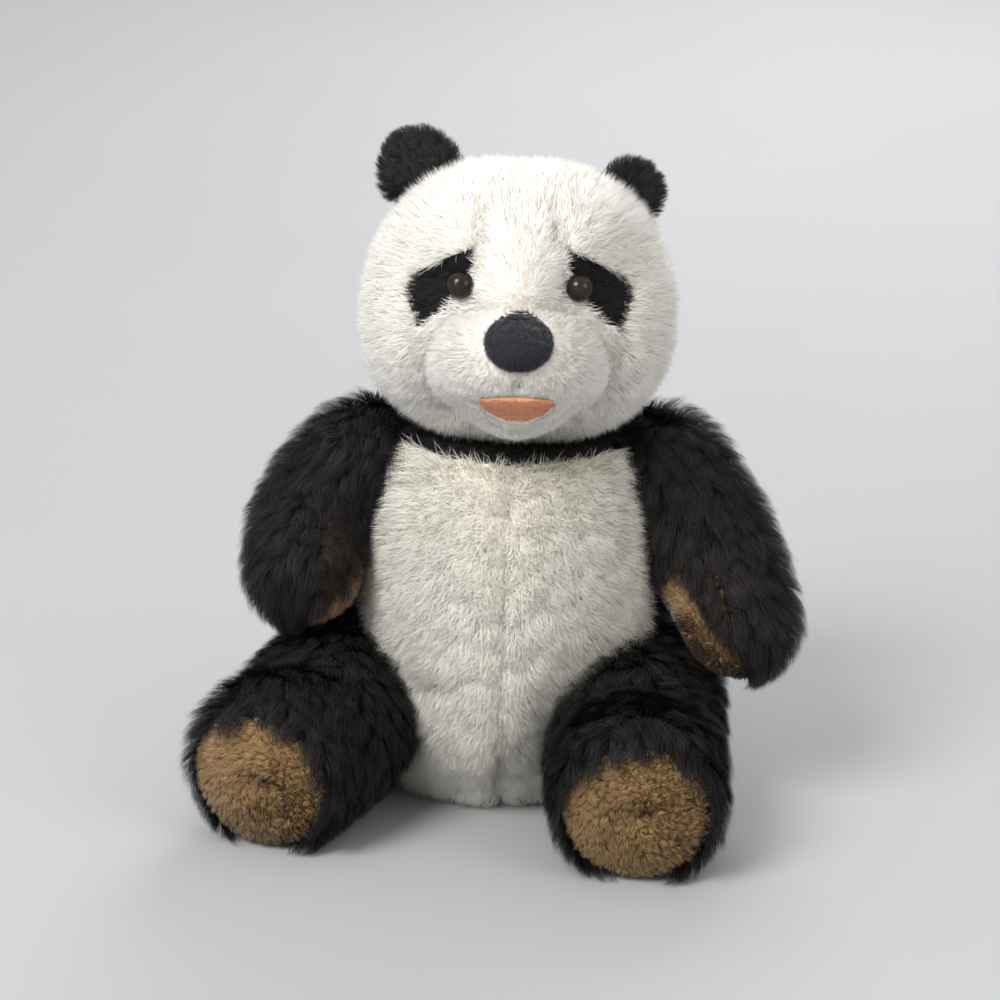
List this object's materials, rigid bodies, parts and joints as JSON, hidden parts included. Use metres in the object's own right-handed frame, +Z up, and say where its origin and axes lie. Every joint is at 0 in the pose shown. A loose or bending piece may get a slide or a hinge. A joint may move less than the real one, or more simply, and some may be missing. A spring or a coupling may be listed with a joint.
{
  "type": "plush panda",
  "caption": "Sitting soft plush panda with pile-fabric skin, sewn-on face, and a head, arms, legs and ears that flex at their seams.",
  "frame": {"origin": "centre of the flat seat, on the surface the panda sits on", "axes": "+Z up, -Y the way the panda faces, +X towards its left side"},
  "size_m": [0.2609, 0.2081, 0.3031],
  "materials": {
    "white_pile": "long soft pile",
    "cream_pile": "long soft pile",
    "black_pile": "long soft pile",
    "short_black_pile": "short pile",
    "brown_pile": "short curly pile",
    "navy_felt": "felt",
    "peach_felt": "felt",
    "filling": "loose polyester fibre",
    "eye_plastic": "clear gloss over brown",
    "washer_plastic": "moulded",
    "label_satin": "woven satin ribbon"
  },
  "bodies": {
    "torso": {"torso_filling": "filling", "belly_panel_right": "cream_pile", "belly_panel_left": "cream_pile", "chest_yoke": "black_pile", "side_panel_right": "black_pile", "side_panel_left": "black_pile", "upper_back_panel": "black_pile", "lower_back_panel": "white_pile", "seat_panel": "black_pile", "tail": "white_pile", "care_label": "label_satin"},
    "neck": {"neck_filling": "filling"},
    "head": {"head_filling": "filling", "forehead_gusset": "white_pile", "face_panel_right": "white_pile", "face_panel_left": "white_pile", "back_of_head": "white_pile", "throat_panel": "white_pile", "muzzle_panel": "white_pile", "muzzle_filling": "filling", "nose": "navy_felt", "mouth": "peach_felt", "eye_patch_right": "short_black_pile", "eye_patch_left": "short_black_pile", "eye_right": "eye_plastic", "eye_left": "eye_plastic", "eye_washer_right": "washer_plastic", "eye_washer_left": "washer_plastic"},
    "right_ear": {"ear_back_right": "black_pile", "ear_front_right": "black_pile"},
    "right_shoulder": {"shoulder_filling_right": "filling"},
    "right_arm": {"arm_filling_right": "filling", "arm_outer_panel_right": "black_pile", "arm_inner_panel_right": "black_pile", "palm_pad_right": "brown_pile"},
    "right_leg": {"leg_filling_right": "filling", "leg_outer_panel_right": "black_pile", "leg_inner_panel_right": "black_pile", "sole_pad_right": "brown_pile"},
    "left_ear": {"ear_back_left": "black_pile", "ear_front_left": "black_pile"},
    "left_shoulder": {"shoulder_filling_left": "filling"},
    "left_arm": {"arm_filling_left": "filling", "arm_outer_panel_left": "black_pile", "arm_inner_panel_left": "black_pile", "palm_pad_left": "brown_pile"},
    "left_leg": {"leg_filling_left": "filling", "leg_outer_panel_left": "black_pile", "leg_inner_panel_left": "black_pile", "sole_pad_left": "brown_pile"}
  },
  "joints": [
    {"name": "neck_turn", "type": "hinge", "parent": "torso", "child": "neck", "pos_m": [0.006, 0.004, 0.181], "axis": [0, 0, 1], "range_deg": [-30, 30]},
    {"name": "head_nod", "type": "hinge", "parent": "neck", "child": "head", "pos_m": [0.006, 0.004, 0.181], "axis": [1, 0, 0], "range_deg": [-18, 12]},
    {"name": "right_arm_raise", "type": "hinge", "parent": "torso", "child": "right_shoulder", "pos_m": [-0.064, 0.002, 0.151], "axis": [0, 1, 0], "range_deg": [0, 50]},
    {"name": "right_arm_swing", "type": "hinge", "parent": "right_shoulder", "child": "right_arm", "pos_m": [-0.064, 0.002, 0.151], "axis": [-1, 0, 0], "range_deg": [-6, 55]},
    {"name": "right_leg_splay", "type": "hinge", "parent": "torso", "child": "right_leg", "pos_m": [-0.0642, 0.004, 0.047], "axis": [0, 0, -1], "range_deg": [-18, 12]},
    {"name": "right_ear_flex", "type": "hinge", "parent": "head", "child": "right_ear", "pos_m": [-0.0395, 0.002, 0.2803], "axis": [0.9781, 0, 0.2079], "range_deg": [-15, 15]},
    {"name": "left_arm_raise", "type": "hinge", "parent": "torso", "child": "left_shoulder", "pos_m": [0.076, 0.002, 0.151], "axis": [0, -1, 0], "range_deg": [0, 50]},
    {"name": "left_arm_swing", "type": "hinge", "parent": "left_shoulder", "child": "left_arm", "pos_m": [0.076, 0.002, 0.151], "axis": [-1, 0, 0], "range_deg": [-6, 55]},
    {"name": "left_leg_splay", "type": "hinge", "parent": "torso", "child": "left_leg", "pos_m": [0.0678, -0.014, 0.047], "axis": [0, 0, 1], "range_deg": [-2, 15]},
    {"name": "left_ear_flex", "type": "hinge", "parent": "head", "child": "left_ear", "pos_m": [0.0545, 0.002, 0.27785], "axis": [0.7193, 0, -0.6947], "range_deg": [-15, 15]}
  ]
}
